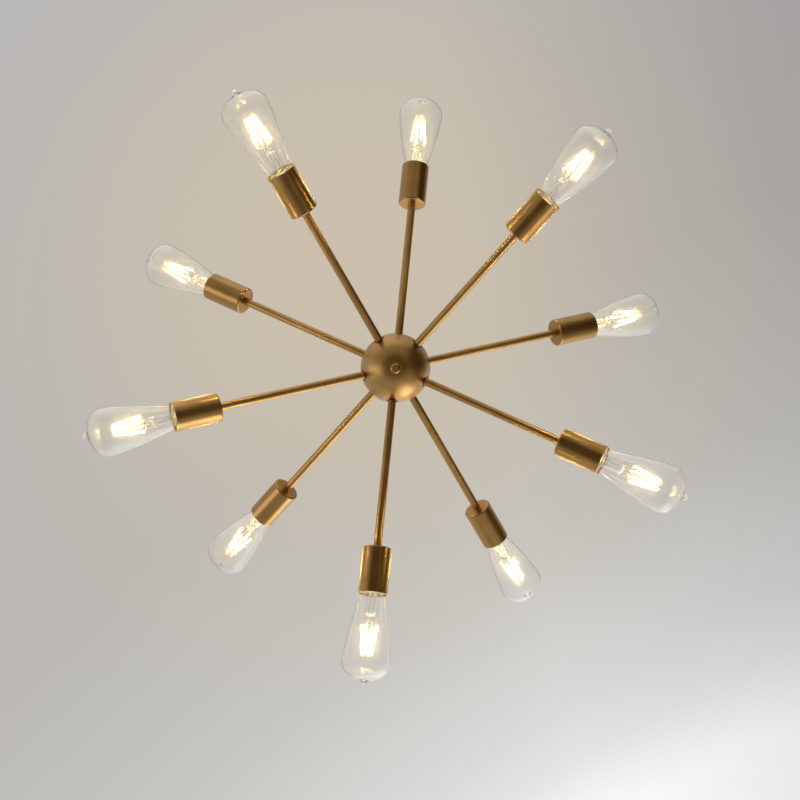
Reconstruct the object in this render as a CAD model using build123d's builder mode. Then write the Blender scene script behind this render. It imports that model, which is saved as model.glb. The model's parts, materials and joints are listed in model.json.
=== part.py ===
"""Ten-light sputnik chandelier on a rod stem, at full size in millimetres.

The origin is the centre of the ceiling bracket's top face. +Z points up into the ceiling, so
the fixture hangs below it. Five lower arms slope down and five upper arms slope up, half a
step round from each other. Every arm piece is drawn along its own arm, in distances measured
from the centre of the ball.
"""

import os
from math import asin, cos, degrees, radians, sin, sqrt

from build123d import *

os.makedirs("parts", exist_ok=True)

# ---------------------------------------------------------------- driving dimensions

# arms
arms_per_tier = 5
arm_tilt = 21.5
first_lower_azimuth = 90.0
cup_reach = 256.0            # ball centre to the back of a cup
tube_diameter = 11.0         # drawn brass tube, threaded at its ends
tube_bore = 9.0
tube_inner_reach = 37.0      # ball centre to the arm's inner end

# thin lock nuts on the lamp pipe
nut_flats = 15.0
nut_thickness = 3.5

# lamp cups
cup_diameter = 39.4
cup_length = 62.0
cup_wall = 1.2
cup_back = 3.0
cup_edge_radius = 2.5

# porcelain lampholders and their threaded liners
lampholder_setback = 2.5     # mouth of the porcelain, below the rim of the cup
lampholder_diameter = 35.0
lampholder_pocket = 4.0      # depth of the socket that sits on the end of the arm
liner_bore = 27.0
liner_wall = 0.5
liner_depth = 34.0

# bulbs: clear teardrop glass on a 26 mm screw cap
cap_diameter = 26.0
cap_length = 25.0
cap_wall = 0.45
cap_thread_pitch = 3.6
cap_thread_depth = 0.65
cap_turns = 5
contact_diameter = 9.0
contact_height = 1.5
glass_diameter = 64.0
glass_length = 120.0
glass_wall = 1.0
glass_neck_diameter = 28.8
glass_neck_slope = 0.42      # how fast the cone widens above the cap
glass_dome_height = 22.0
glass_tip_height = 6.0
glass_tip_radius = 7.0       # root of the drawn-off tip
glass_nub_radius = 3.0       # rounding at its very end
glass_waist_distance = 44.0  # cap rim to a place half way up the cone
glass_waist_diameter = 49.8
glass_root_depth = 4.0       # how far the glass reaches down into the cap
glass_stem_diameter = 14.4
glass_stem_length = 31.0
glass_pinch_diameter = 9.0
glass_pinch_length = 6.0
glass_post_diameter = 3.4
glass_post_length = 4.0
glass_exhaust_bore = 1.2     # bore of the post, through which the bulb was emptied

# glowing sticks inside the bulb
filament_count = 4
filament_turn = 20.0         # first stick, round the bulb from level
filament_length = 40.0
filament_diameter = 2.0
filament_base_radius = 11.0  # axis of the bulb to a stick, at the end by the cap
filament_tip_radius = 6.5
filament_wire = 0.9

# ball
ball_diameter = 97.0
ball_wall = 3.0
seat_diameter = 16.0         # turned seat round each arm
seat_step = 0.9              # depth of that seat below the edge it cuts in the ball
lip_height = 4.0             # the lower half's lip, above and below the joint
lip_wall = 2.0
seam_bevel = 0.35

# stud through the ball, its collar above and the cap nut below
stud_bore = 6.0
collar_diameter = 18.0
collar_height = 10.0
socket_depth = 8.0           # how far the lower rod screws into the collar
window_height = 16.0
window_width = 6.0
cap_nut_diameter = 13.6
cap_nut_height = 7.5
cap_nut_wall = 2.0
washer_diameter = 18.0
washer_thickness = 1.0

# down rods
rod_length = 305.0
rod_end_gap = 0.5
coupling_diameter = 15.0
coupling_length = 24.0

# hang-straight swivel
yoke_collar_diameter = 22.0
yoke_collar_height = 4.0
yoke_ear_gap = 8.0
yoke_ear_thickness = 3.0
yoke_ear_width = 14.0
pivot_drop = 14.0            # underside of the yoke's collar to the pivot
nipple_length = 12.0
pivot_diameter = 5.0
pivot_head_diameter = 8.0
pivot_head_height = 1.6
knuckle_neck = 11.0          # pivot to the top of the knuckle's boss
knuckle_boss_diameter = 16.0
knuckle_boss_height = 14.0
knuckle_socket = 10.0        # how far the upper rod screws into the boss

# canopy and ceiling bracket
canopy_diameter = 115.0
canopy_depth = 25.0
canopy_wall = 1.2
canopy_edge_radius = 4.0
bracket_length = 106.0
bracket_width = 20.0
bracket_thickness = 2.0
box_screw_spacing = 88.9
slot_width = 5.0
slot_length = 12.0
stud_spacing = 60.0
canopy_stud_diameter = 4.0
canopy_nut_diameter = 8.0
canopy_nut_height = 8.0
canopy_nut_grip = 5.0        # thread of a stud inside its nut

# leads and their connectors
lead_diameter = 2.2
lead_spacing = 2.8
lead_inner_reach = 24.0
connector_diameter = 11.0
connector_length = 20.0

# clearances
thread_clearance = 0.1       # round a screwed joint, on the radius
pivot_clearance = 0.08       # round a shaft that turns, on the radius
sliding_clearance = 0.3      # beside a piece that moves
seat_gap = 0.2               # between pieces that are pushed together

# ---------------------------------------------------------------- worked-out places

tube_radius = tube_diameter / 2
thread_radius = tube_radius + thread_clearance
cup_mouth = cup_reach + cup_length
cup_floor = cup_reach + cup_back
lampholder_back = cup_floor + nut_thickness + seat_gap
lampholder_mouth = cup_mouth - lampholder_setback
pocket_floor = lampholder_back + lampholder_pocket
tube_outer_reach = pocket_floor - seat_gap
liner_radius = liner_bore / 2 + liner_wall
liner_mouth = lampholder_mouth - liner_wall
liner_back = liner_mouth - liner_depth
cap_rim = lampholder_mouth + liner_wall
cap_foot = cap_rim - cap_length

ball_radius = ball_diameter / 2
ball_bore_radius = ball_radius - ball_wall
seat_floor = sqrt(ball_radius**2 - (seat_diameter / 2) ** 2) - seat_step
nut_corner = nut_flats / sqrt(3)
nut_outer_face = sqrt(ball_bore_radius**2 - nut_corner**2) - seat_gap
collar_flat = sqrt(ball_radius**2 - (collar_diameter / 2) ** 2)
washer_flat = sqrt(ball_radius**2 - (washer_diameter / 2) ** 2)

canopy_bottom = -canopy_depth
yoke_underside = canopy_bottom - yoke_collar_height
pivot_height = yoke_underside - pivot_drop
boss_top = pivot_height - knuckle_neck
boss_bottom = boss_top - knuckle_boss_height
upper_rod_top = boss_bottom + knuckle_socket - seat_gap
upper_rod_bottom = upper_rod_top - rod_length
lower_rod_top = upper_rod_bottom - rod_end_gap
lower_rod_bottom = lower_rod_top - rod_length
collar_top = lower_rod_bottom - seat_gap + socket_depth
collar_bottom = collar_top - collar_height
ball_height = collar_bottom - collar_flat
ball_centre = Vector(0, 0, ball_height)
stud_bottom = ball_height - washer_flat - washer_thickness - cap_nut_height + cap_nut_wall


class Arm:
    """One arm's direction, with the planes that its pieces are drawn on."""

    def __init__(self, tier, number, azimuth, tilt):
        self.tier = tier
        self.number = number
        across = radians(azimuth)
        up = radians(tilt)
        self.direction = Vector(cos(up) * cos(across), cos(up) * sin(across), sin(up))
        self.side = Vector(-sin(across), cos(across), 0)
        self.axis = Axis(ball_centre, self.direction)
        self.section = Plane(ball_centre, x_dir=self.direction, z_dir=self.side)

    def name(self, piece):
        return f"{self.tier}_{piece}_{self.number}"

    def station(self, distance):
        """The plane square across the arm, at a distance from the ball's centre."""
        return Plane(ball_centre + self.direction * distance, x_dir=self.side, z_dir=self.direction)


step = 360 / arms_per_tier
lower_arms = [
    Arm("lower", k + 1, first_lower_azimuth + k * step, -arm_tilt) for k in range(arms_per_tier)
]
upper_arms = [
    Arm("upper", k + 1, first_lower_azimuth + (k + 0.5) * step, arm_tilt) for k in range(arms_per_tier)
]
all_arms = lower_arms + upper_arms
stem_axis = Axis.Z
stem_section = Plane.XZ      # local X is the radius, local Y is the height


def outline(plane, *points):
    """A flat face through the given corners of a section."""
    with BuildSketch(plane) as face:
        with BuildLine():
            Polyline(*points, close=True)
        make_face()
    return face.sketch


def save(piece, name):
    """Label a finished piece and write it."""
    piece.part.label = name
    export_step(piece.part, f"parts/{name}.step")


# ---------------------------------------------------------------- ceiling bracket

# flat steel strap, screwed to the ceiling box through its two slots
with BuildPart() as ceiling_bracket:
    with BuildSketch(Plane.XY.offset(-bracket_thickness)):
        RectangleRounded(bracket_length, bracket_width, bracket_width / 4)
        with GridLocations(box_screw_spacing, 0, 2, 1):
            SlotOverall(slot_length, slot_width, mode=Mode.SUBTRACT)
        with GridLocations(stud_spacing, 0, 2, 1):
            Circle(canopy_stud_diameter / 2 + thread_clearance, mode=Mode.SUBTRACT)
    extrude(amount=bracket_thickness)
save(ceiling_bracket, "ceiling_bracket")

# two threaded studs that hang from the bracket and carry the canopy
with BuildPart() as canopy_studs:
    with BuildSketch(Plane.XY):
        with GridLocations(stud_spacing, 0, 2, 1):
            Circle(canopy_stud_diameter / 2)
    extrude(amount=canopy_bottom - canopy_nut_grip)
save(canopy_studs, "canopy_studs")

# spun cup that hides the ceiling box, open at the top
with BuildPart() as canopy:
    with BuildSketch():
        Circle(canopy_diameter / 2)
    extrude(amount=-canopy_depth)
    fillet(canopy.edges().group_by(Axis.Z)[0], canopy_edge_radius)
    offset(amount=-canopy_wall, openings=canopy.faces().sort_by(Axis.Z)[-1])
    with BuildSketch(Plane.XY.offset(canopy_bottom)):
        Circle(tube_radius + pivot_clearance)
        with GridLocations(stud_spacing, 0, 2, 1):
            Circle(canopy_stud_diameter / 2 + thread_clearance)
    extrude(amount=canopy_wall, both=True, mode=Mode.SUBTRACT)
save(canopy, "canopy")

# round cap nuts that draw the canopy up to the ceiling
with BuildPart() as canopy_cap_nuts:
    with BuildSketch(Plane.XY.offset(canopy_bottom)):
        with GridLocations(stud_spacing, 0, 2, 1):
            Circle(canopy_nut_diameter / 2)
    extrude(amount=-canopy_nut_height)
    fillet(canopy_cap_nuts.edges().group_by(Axis.Z)[0], canopy_nut_diameter * 0.35)
    with BuildSketch(Plane.XY.offset(canopy_bottom)):
        with GridLocations(stud_spacing, 0, 2, 1):
            Circle(canopy_stud_diameter / 2 + thread_clearance)
    extrude(amount=-canopy_nut_grip - seat_gap, mode=Mode.SUBTRACT)
save(canopy_cap_nuts, "canopy_cap_nuts")

# ---------------------------------------------------------------- swivel

# hollow threaded nipple, collar and two ears, which turn as one in the canopy's hole
with BuildPart() as swivel_yoke:
    with BuildSketch(Plane.XY.offset(yoke_underside)):
        Circle(yoke_collar_diameter / 2)
    extrude(amount=yoke_collar_height)
    fillet(swivel_yoke.edges().group_by(Axis.Z)[0], yoke_collar_height * 0.3)
    with BuildSketch(Plane.XY.offset(canopy_bottom)):
        Circle(tube_radius)
    extrude(amount=nipple_length)
    with BuildSketch(Plane.YZ):
        with Locations((0, pivot_height)):
            Circle(yoke_ear_width / 2)
        with Locations((0, pivot_height + pivot_drop / 2)):
            Rectangle(yoke_ear_width, pivot_drop)
    extrude(amount=yoke_ear_gap / 2 + yoke_ear_thickness, both=True)
    with BuildSketch(Plane.YZ):
        with Locations((0, yoke_underside - pivot_drop)):
            Rectangle(yoke_ear_width * 2, pivot_drop * 2)
    extrude(amount=yoke_ear_gap / 2, both=True, mode=Mode.SUBTRACT)
    with BuildSketch(Plane.YZ):
        with Locations((0, pivot_height)):
            Circle(pivot_diameter / 2 + thread_clearance)
    extrude(amount=yoke_ear_gap, both=True, mode=Mode.SUBTRACT)
    with BuildSketch(Plane.XY.offset(yoke_underside)):
        Circle(stud_bore / 2)
    extrude(amount=yoke_collar_height + nipple_length, mode=Mode.SUBTRACT)
save(swivel_yoke, "swivel_yoke")

# thin nut inside the canopy, on the yoke's nipple
with BuildPart() as swivel_lock_nut:
    with BuildSketch(Plane.XY.offset(canopy_bottom + canopy_wall)):
        RegularPolygon(nut_corner, 6)
        Circle(thread_radius, mode=Mode.SUBTRACT)
    extrude(amount=nut_thickness)
save(swivel_lock_nut, "swivel_lock_nut")

# riveted pin across the ears, with a low head at each end
pin_half = yoke_ear_gap / 2 + yoke_ear_thickness
with BuildPart() as swivel_pin:
    with BuildSketch(Plane.YZ):
        with Locations((0, pivot_height)):
            Circle(pivot_diameter / 2)
    extrude(amount=pin_half, both=True)
    for side in (1, -1):
        with BuildSketch(Plane.YZ.offset(side * pin_half)):
            with Locations((0, pivot_height)):
                Circle(pivot_head_diameter / 2)
        extrude(amount=side * pivot_head_height, taper=25)
save(swivel_pin, "swivel_pin")

# tongue on the pin, and a round boss that the stem screws into
tongue = yoke_ear_gap - 2 * sliding_clearance
with BuildPart() as swivel_knuckle:
    with BuildSketch(Plane.YZ):
        with Locations((0, pivot_height)):
            Circle(yoke_ear_width / 2)
        with Locations((0, pivot_height - knuckle_neck / 2)):
            Rectangle(yoke_ear_width, knuckle_neck)
    extrude(amount=tongue / 2, both=True)
    with BuildSketch(Plane.XY.offset(boss_bottom)):
        Circle(knuckle_boss_diameter / 2)
    extrude(amount=knuckle_boss_height)
    fillet(swivel_knuckle.edges().group_by(Axis.Z)[0], knuckle_boss_height / 10)
    with BuildSketch(Plane.YZ):
        with Locations((0, pivot_height)):
            Circle(pivot_diameter / 2 + pivot_clearance)
    extrude(amount=yoke_ear_gap, both=True, mode=Mode.SUBTRACT)
    with BuildSketch(Plane.XY.offset(boss_bottom)):
        Circle(thread_radius)
    extrude(amount=knuckle_socket, mode=Mode.SUBTRACT)
save(swivel_knuckle, "swivel_knuckle")

# ---------------------------------------------------------------- stem

for name, top in (("upper_rod", upper_rod_top), ("lower_rod", lower_rod_top)):
    with BuildPart() as rod:
        with BuildSketch(Plane.XY.offset(top)):
            Circle(tube_radius)
            Circle(tube_bore / 2, mode=Mode.SUBTRACT)
        extrude(amount=-rod_length)
    save(rod, name)

# round coupling that joins the two rods end to end
with BuildPart() as rod_coupling:
    middle = (upper_rod_bottom + lower_rod_top) / 2
    with BuildSketch(Plane.XY.offset(middle)):
        Circle(coupling_diameter / 2)
    extrude(amount=coupling_length / 2, both=True)
    ends = rod_coupling.edges().filter_by(GeomType.CIRCLE)
    fillet(ends, (coupling_diameter - tube_diameter) / 5)
    with BuildSketch(Plane.XY.offset(middle)):
        Circle(thread_radius)
    extrude(amount=coupling_length / 2, both=True, mode=Mode.SUBTRACT)
save(rod_coupling, "rod_coupling")

# ---------------------------------------------------------------- ball

# collar and hollow stud: the stud runs through the ball and clamps its halves together
with BuildPart() as ball_stud:
    with BuildSketch(Plane.XY.offset(collar_bottom)):
        Circle(collar_diameter / 2)
    extrude(amount=collar_height)
    fillet(ball_stud.edges().group_by(Axis.Z)[-1], collar_height / 8)
    with BuildSketch(Plane.XY.offset(collar_bottom)):
        Circle(tube_radius)
    extrude(amount=stud_bottom - collar_bottom)
    with BuildSketch(Plane.XY.offset(collar_top)):
        Circle(thread_radius)
    extrude(amount=-socket_depth, mode=Mode.SUBTRACT)
    with BuildSketch(Plane.XY.offset(collar_top)):
        Circle(stud_bore / 2)
    extrude(amount=stud_bottom - collar_top, mode=Mode.SUBTRACT)
    with BuildSketch(Plane.YZ):
        with Locations((0, ball_height)):
            SlotOverall(window_height, window_width, rotation=90)
    extrude(amount=tube_diameter, both=True, mode=Mode.SUBTRACT)
save(ball_stud, "ball_stud")


def half_ball(side):
    """One hemispherical shell, above (side 1) or below (side -1) the joint."""
    with BuildPart() as half:
        with BuildSketch(stem_section):
            with Locations((0, ball_height)):
                Circle(ball_radius)
                Circle(ball_bore_radius, mode=Mode.SUBTRACT)
            with Locations((-ball_diameter / 2, ball_height)):
                Rectangle(ball_diameter, ball_diameter * 2, mode=Mode.SUBTRACT)
            with Locations((0, ball_height - side * ball_diameter / 2)):
                Rectangle(ball_diameter * 2, ball_diameter, mode=Mode.SUBTRACT)
        revolve(axis=stem_axis)
        joint_edges = half.edges().filter_by(Plane.XY).group_by(Axis.Z)[0 if side > 0 else -1]
        chamfer(joint_edges.sort_by(SortBy.RADIUS)[-1], seam_bevel)
    return half


def drill_for_arms(arms):
    """Cut the round seat and the hole for each arm of a tier in the open part."""
    for arm in arms:
        with BuildSketch(arm.station(seat_floor)) as seat:
            Circle(seat_diameter / 2)
        extrude(seat.sketch, amount=seat_diameter, mode=Mode.SUBTRACT)
        with BuildSketch(arm.station(ball_bore_radius / 2)) as hole:
            Circle(thread_radius)
        extrude(hole.sketch, amount=ball_radius, mode=Mode.SUBTRACT)


# upper half: five seats, and a flat with a hole for the stud
with BuildPart() as ball_upper_half:
    add(half_ball(1).part)
    drill_for_arms(upper_arms)
    with BuildSketch(Plane.XY.offset(collar_bottom)) as flat:
        Circle(collar_diameter)
    extrude(flat.sketch, amount=ball_wall, mode=Mode.SUBTRACT)
    with BuildSketch(Plane.XY.offset(ball_height)) as hole:
        Circle(thread_radius)
    extrude(hole.sketch, amount=ball_diameter, mode=Mode.SUBTRACT)
save(ball_upper_half, "ball_upper_half")

# lower half: the same, with a lip inside that centres the upper half on it
with BuildPart() as ball_lower_half:
    add(half_ball(-1).part)
    lip_radius = ball_bore_radius - seat_gap
    with BuildSketch(Plane.XY.offset(ball_height - lip_height)) as lip:
        Circle(ball_bore_radius + ball_wall / 4)
        Circle(lip_radius - lip_wall, mode=Mode.SUBTRACT)
    extrude(lip.sketch, amount=lip_height)
    with BuildSketch(Plane.XY.offset(ball_height)) as lip_top:
        Circle(sqrt(lip_radius**2 - lip_height**2))
        Circle(lip_radius - lip_wall, mode=Mode.SUBTRACT)
    extrude(lip_top.sketch, amount=lip_height)
    drill_for_arms(lower_arms)
    with BuildSketch(Plane.XY.offset(ball_height - washer_flat)) as flat:
        Circle(washer_diameter)
    extrude(flat.sketch, amount=-ball_wall, mode=Mode.SUBTRACT)
    with BuildSketch(Plane.XY.offset(ball_height)) as hole:
        Circle(thread_radius)
    extrude(hole.sketch, amount=-ball_diameter, mode=Mode.SUBTRACT)
save(ball_lower_half, "ball_lower_half")

# domed cap nut with a thin washer face, which closes the ball from below
nut_top = ball_height - washer_flat
nut_bottom = nut_top - washer_thickness - cap_nut_height
with BuildPart() as bottom_cap_nut:
    with BuildSketch(Plane.XY.offset(nut_top)):
        Circle(washer_diameter / 2)
    extrude(amount=-washer_thickness)
    with BuildSketch(Plane.XY.offset(nut_top)):
        Circle(cap_nut_diameter / 2)
    extrude(amount=nut_bottom - nut_top)
    fillet(bottom_cap_nut.edges().group_by(Axis.Z)[0], min(cap_nut_diameter, cap_nut_height) * 0.45)
    with BuildSketch(Plane.XY.offset(nut_top)):
        Circle(thread_radius)
    extrude(amount=stud_bottom - nut_top - seat_gap, mode=Mode.SUBTRACT)
save(bottom_cap_nut, "bottom_cap_nut")

# ---------------------------------------------------------------- arms

for arm in all_arms:
    with BuildPart() as arm_tube:
        with BuildSketch(arm.station(tube_inner_reach)):
            Circle(tube_radius)
            Circle(tube_bore / 2, mode=Mode.SUBTRACT)
        extrude(amount=tube_outer_reach - tube_inner_reach)
    save(arm_tube, arm.name("arm_tube"))

# a lock nut inside the ball and another inside the cup, on every arm
with BuildPart() as arm_lock_nuts:
    for arm in all_arms:
        for face in (nut_outer_face - nut_thickness, cup_floor):
            with BuildSketch(arm.station(face)):
                RegularPolygon(nut_corner, 6)
                Circle(thread_radius, mode=Mode.SUBTRACT)
            extrude(amount=nut_thickness)
save(arm_lock_nuts, "arm_lock_nuts")

# ---------------------------------------------------------------- lamp cups

for arm in all_arms:
    with BuildPart() as socket_cup:
        with BuildSketch(arm.station(cup_reach)):
            Circle(cup_diameter / 2)
        extrude(amount=cup_length)
        back_edge = socket_cup.edges().sort_by(arm.axis)[0]
        fillet(back_edge, cup_edge_radius)
        with BuildSketch(arm.station(cup_floor)):
            Circle(cup_diameter / 2 - cup_wall)
        extrude(amount=cup_length, mode=Mode.SUBTRACT)
        with BuildSketch(arm.station(cup_reach)):
            Circle(thread_radius)
        extrude(amount=cup_back, mode=Mode.SUBTRACT)
    save(socket_cup, arm.name("socket_cup"))

# ---------------------------------------------------------------- lampholders

# porcelain bodies: a pocket on the end of the arm, and a deep bore for the liner
liner_pocket = liner_radius + seat_gap
lampholder_outline = [
    (lampholder_back, thread_radius),
    (pocket_floor, thread_radius),
    (pocket_floor, lead_spacing / 2 + lead_diameter / 2 + seat_gap),
    (liner_back - seat_gap, lead_spacing / 2 + lead_diameter / 2 + seat_gap),
    (liner_back - seat_gap, liner_pocket),
    (lampholder_mouth, liner_pocket),
    (lampholder_mouth, lampholder_diameter / 2),
    (lampholder_back, lampholder_diameter / 2),
]
with BuildPart() as lampholders:
    for arm in all_arms:
        revolve(outline(arm.section, *lampholder_outline), axis=arm.axis)
save(lampholders, "lampholders")

# plated liners that take the thread of the bulb
liner_outline = [
    (liner_back, contact_diameter / 2),
    (liner_back, liner_radius),
    (liner_mouth, liner_radius),
    (liner_mouth, liner_bore / 2),
    (liner_back + liner_wall, liner_bore / 2),
    (liner_back + liner_wall, contact_diameter / 2),
]
with BuildPart() as lampholder_liners:
    for arm in all_arms:
        revolve(outline(arm.section, *liner_outline), axis=arm.axis)
save(lampholder_liners, "lampholder_liners")

# ---------------------------------------------------------------- bulbs

glass_neck = glass_neck_diameter / 2
glass_radius = glass_diameter / 2
widest = cap_rim + glass_length - glass_tip_height - glass_dome_height
glass_end = cap_rim + glass_length
nub_centre = glass_end - glass_nub_radius
cap_inner = cap_diameter / 2 - cap_thread_depth - cap_wall
root_radius = cap_inner - seat_gap
glass_foot = cap_rim - glass_root_depth
neck_foot = cap_rim + glass_wall / 2
stem_top = cap_rim + glass_stem_length
pinch_top = stem_top + glass_pinch_length
post_top = pinch_top + glass_post_length


def teardrop(inset):
    """Draw the glass from neck to dome, moved inwards by an inset, and return its two ends."""
    neck = (cap_rim + glass_wall * 2, glass_neck - inset)
    waist = (cap_rim + glass_waist_distance, glass_waist_diameter / 2 - inset)
    belly = (widest, glass_radius - inset)
    start = Line((neck_foot, root_radius - inset), neck)
    Spline(neck, waist, belly, tangents=((1, glass_neck_slope), (1, 0)))
    rise = glass_dome_height - inset
    tip_angle = degrees(asin(glass_tip_radius / belly[1]))
    dome = EllipticalCenterArc((widest, 0), rise, belly[1], tip_angle, arc_size=90 - tip_angle)
    return start @ 0, dome @ 0


# the stem is fused to the neck and carries the filaments on its post, which the bulb was
# emptied through: up its outside, then down its bore to the foot of the neck
stem_radius = glass_stem_diameter / 2
flare_top = cap_rim + stem_radius
stem_outline = [
    (flare_top, stem_radius),
    (stem_top, stem_radius),
    (pinch_top, glass_pinch_diameter / 2),
    (pinch_top, glass_post_diameter / 2),
    (post_top, glass_post_diameter / 2),
    (post_top, glass_exhaust_bore / 2),
    (stem_top, glass_exhaust_bore / 2),
    (stem_top - glass_wall, stem_radius - glass_wall),
    (flare_top, stem_radius - glass_wall),
    (glass_foot, root_radius - glass_wall),
    (glass_foot, root_radius),
]

# screw cap: rim, rolled thread, cone of insulator and centre contact
thread_start = cap_rim - glass_wall * 2
crest = cap_diameter / 2
valley = crest - cap_thread_depth
thread_points = []
for turn in range(cap_turns):
    here = thread_start - turn * cap_thread_pitch
    thread_points += [(here, valley), (here - cap_thread_pitch / 2, crest)]
thread_end = thread_start - cap_turns * cap_thread_pitch
cap_outline = [
    (cap_rim, cap_inner),
    (cap_rim, crest),
    (thread_start, crest),
    *thread_points,
    (thread_end, valley),
    (cap_foot + contact_height, contact_diameter / 2),
    (cap_foot, contact_diameter / 2 - contact_height / 2),
    (cap_foot, 0),
    (thread_end, 0),
    (thread_end, cap_inner),
]

filament_foot = post_top + filament_wire
filament_head = filament_foot + filament_length

for arm in all_arms:
    with BuildPart() as bulb_glass:
        with BuildSketch(arm.section) as wall:
            with BuildLine():
                foot, tip = teardrop(0)
                inner_foot, inner_tip = teardrop(glass_wall)
                Line(tip, (nub_centre, glass_nub_radius))
                CenterArc((nub_centre, 0), glass_nub_radius, 0, 90)
                Polyline((glass_end, 0), (inner_tip.X, 0), inner_tip)
                Polyline(inner_foot, *stem_outline, foot)
            make_face()
        revolve(wall.sketch, axis=arm.axis)
    save(bulb_glass, arm.name("bulb_glass"))

    with BuildPart() as bulb_base:
        revolve(outline(arm.section, *cap_outline), axis=arm.axis)
        for distance, radius in (
            (filament_foot, filament_base_radius),
            (filament_head, filament_tip_radius),
        ):
            with BuildSketch(arm.station(distance - filament_wire / 2)) as star:
                Circle(glass_post_diameter / 2)
                for turn in range(filament_count // 2):
                    Rectangle(
                        radius * 2 + filament_diameter,
                        filament_wire,
                        rotation=filament_turn + turn * 360 / filament_count,
                    )
            extrude(star.sketch, amount=filament_wire)
        for turn in range(filament_count):
            angle = radians(filament_turn + turn * 360 / filament_count)
            spoke = arm.station(0).x_dir * cos(angle) + arm.station(0).y_dir * sin(angle)
            foot = ball_centre + arm.direction * filament_foot + spoke * filament_base_radius
            head = ball_centre + arm.direction * filament_head + spoke * filament_tip_radius
            with BuildSketch(Plane(foot, z_dir=head - foot)) as stick:
                Circle(filament_diameter / 2)
            extrude(stick.sketch, amount=(head - foot).length)
    save(bulb_base, arm.name("bulb_base"))

# ---------------------------------------------------------------- leads

# two insulated leads down the bore of each arm, from its lampholder into the ball, and two
# more down the stem to the windows of the stud
with BuildPart() as lead_wires:
    for arm in all_arms:
        with BuildSketch(arm.station(lead_inner_reach)) as pair:
            with GridLocations(lead_spacing, 0, 2, 1):
                Circle(lead_diameter / 2)
        extrude(pair.sketch, amount=liner_back - seat_gap * 2 - lead_inner_reach)
    with BuildSketch(Plane.XY.offset(upper_rod_top)) as pair:
        with GridLocations(0, lead_spacing, 1, 2):
            Circle(lead_diameter / 2)
    extrude(pair.sketch, amount=ball_height - upper_rod_top)
save(lead_wires, "lead_wires")

# two crimped connectors beside the stud, one for each pole
with BuildPart() as wire_connectors:
    reach = tube_radius + sliding_clearance + connector_diameter / 2
    with BuildSketch(Plane.XY.offset(ball_height - connector_length / 2)) as foot:
        with GridLocations(2 * reach, 0, 2, 1):
            Circle(connector_diameter / 2)
    extrude(foot.sketch, amount=connector_length, taper=6)
save(wire_connectors, "wire_connectors")
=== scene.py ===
"""Looks of a ten-light sputnik chandelier, in metres, on the frame of its packed construction.

The origin is on the ceiling, at the middle of the bracket, and +Z points up.
"""

import json
from math import asin, cos, pi, radians, sin, tau

import bpy
from mathutils import Matrix, Vector
from mathutils.geometry import interpolate_bezier


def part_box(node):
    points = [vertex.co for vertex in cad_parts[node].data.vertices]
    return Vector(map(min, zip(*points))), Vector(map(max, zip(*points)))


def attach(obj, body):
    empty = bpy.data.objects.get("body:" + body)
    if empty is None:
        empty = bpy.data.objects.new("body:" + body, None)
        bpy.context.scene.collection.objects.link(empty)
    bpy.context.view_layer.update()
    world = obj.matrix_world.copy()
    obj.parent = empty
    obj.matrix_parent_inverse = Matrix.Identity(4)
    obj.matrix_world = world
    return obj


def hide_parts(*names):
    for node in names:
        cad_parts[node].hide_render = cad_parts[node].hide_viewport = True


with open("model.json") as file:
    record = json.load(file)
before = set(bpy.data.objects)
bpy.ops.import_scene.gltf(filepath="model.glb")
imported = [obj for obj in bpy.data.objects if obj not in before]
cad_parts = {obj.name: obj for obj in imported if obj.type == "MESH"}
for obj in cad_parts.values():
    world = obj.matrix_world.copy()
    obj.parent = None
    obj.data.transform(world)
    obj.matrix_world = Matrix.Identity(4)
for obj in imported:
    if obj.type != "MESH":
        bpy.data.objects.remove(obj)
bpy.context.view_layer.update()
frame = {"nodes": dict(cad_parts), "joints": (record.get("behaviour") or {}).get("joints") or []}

# ---------------------------------------------- ceiling bracket and steel fasteners
# A pressed steel strap is screwed to the ceiling box and carries two threaded studs. With the
# thin nuts and the swivel's pin it is zinc plated: pale grey, clouded faintly blue and yellow,
# with a fine spangle and dull scuffs from handling.


class Signal:
    """One output in a node tree. Arithmetic on it adds Math nodes."""

    def __init__(self, finish, socket):
        self.finish = finish
        self.socket = socket

    def math(self, operation, *terms):
        return self.finish.node("Math", dict(enumerate(terms)), operation=operation)

    def __abs__(self):
        return self.math("ABSOLUTE", self)

    def __add__(self, other):
        return self.math("ADD", self, other)

    def __sub__(self, other):
        return self.math("SUBTRACT", self, other)

    def __rsub__(self, other):
        return self.math("SUBTRACT", other, self)

    def __mul__(self, other):
        return self.math("MULTIPLY", self, other)

    def __truediv__(self, other):
        return self.math("DIVIDE", self, other)

    __radd__ = __add__
    __rmul__ = __mul__


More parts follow.
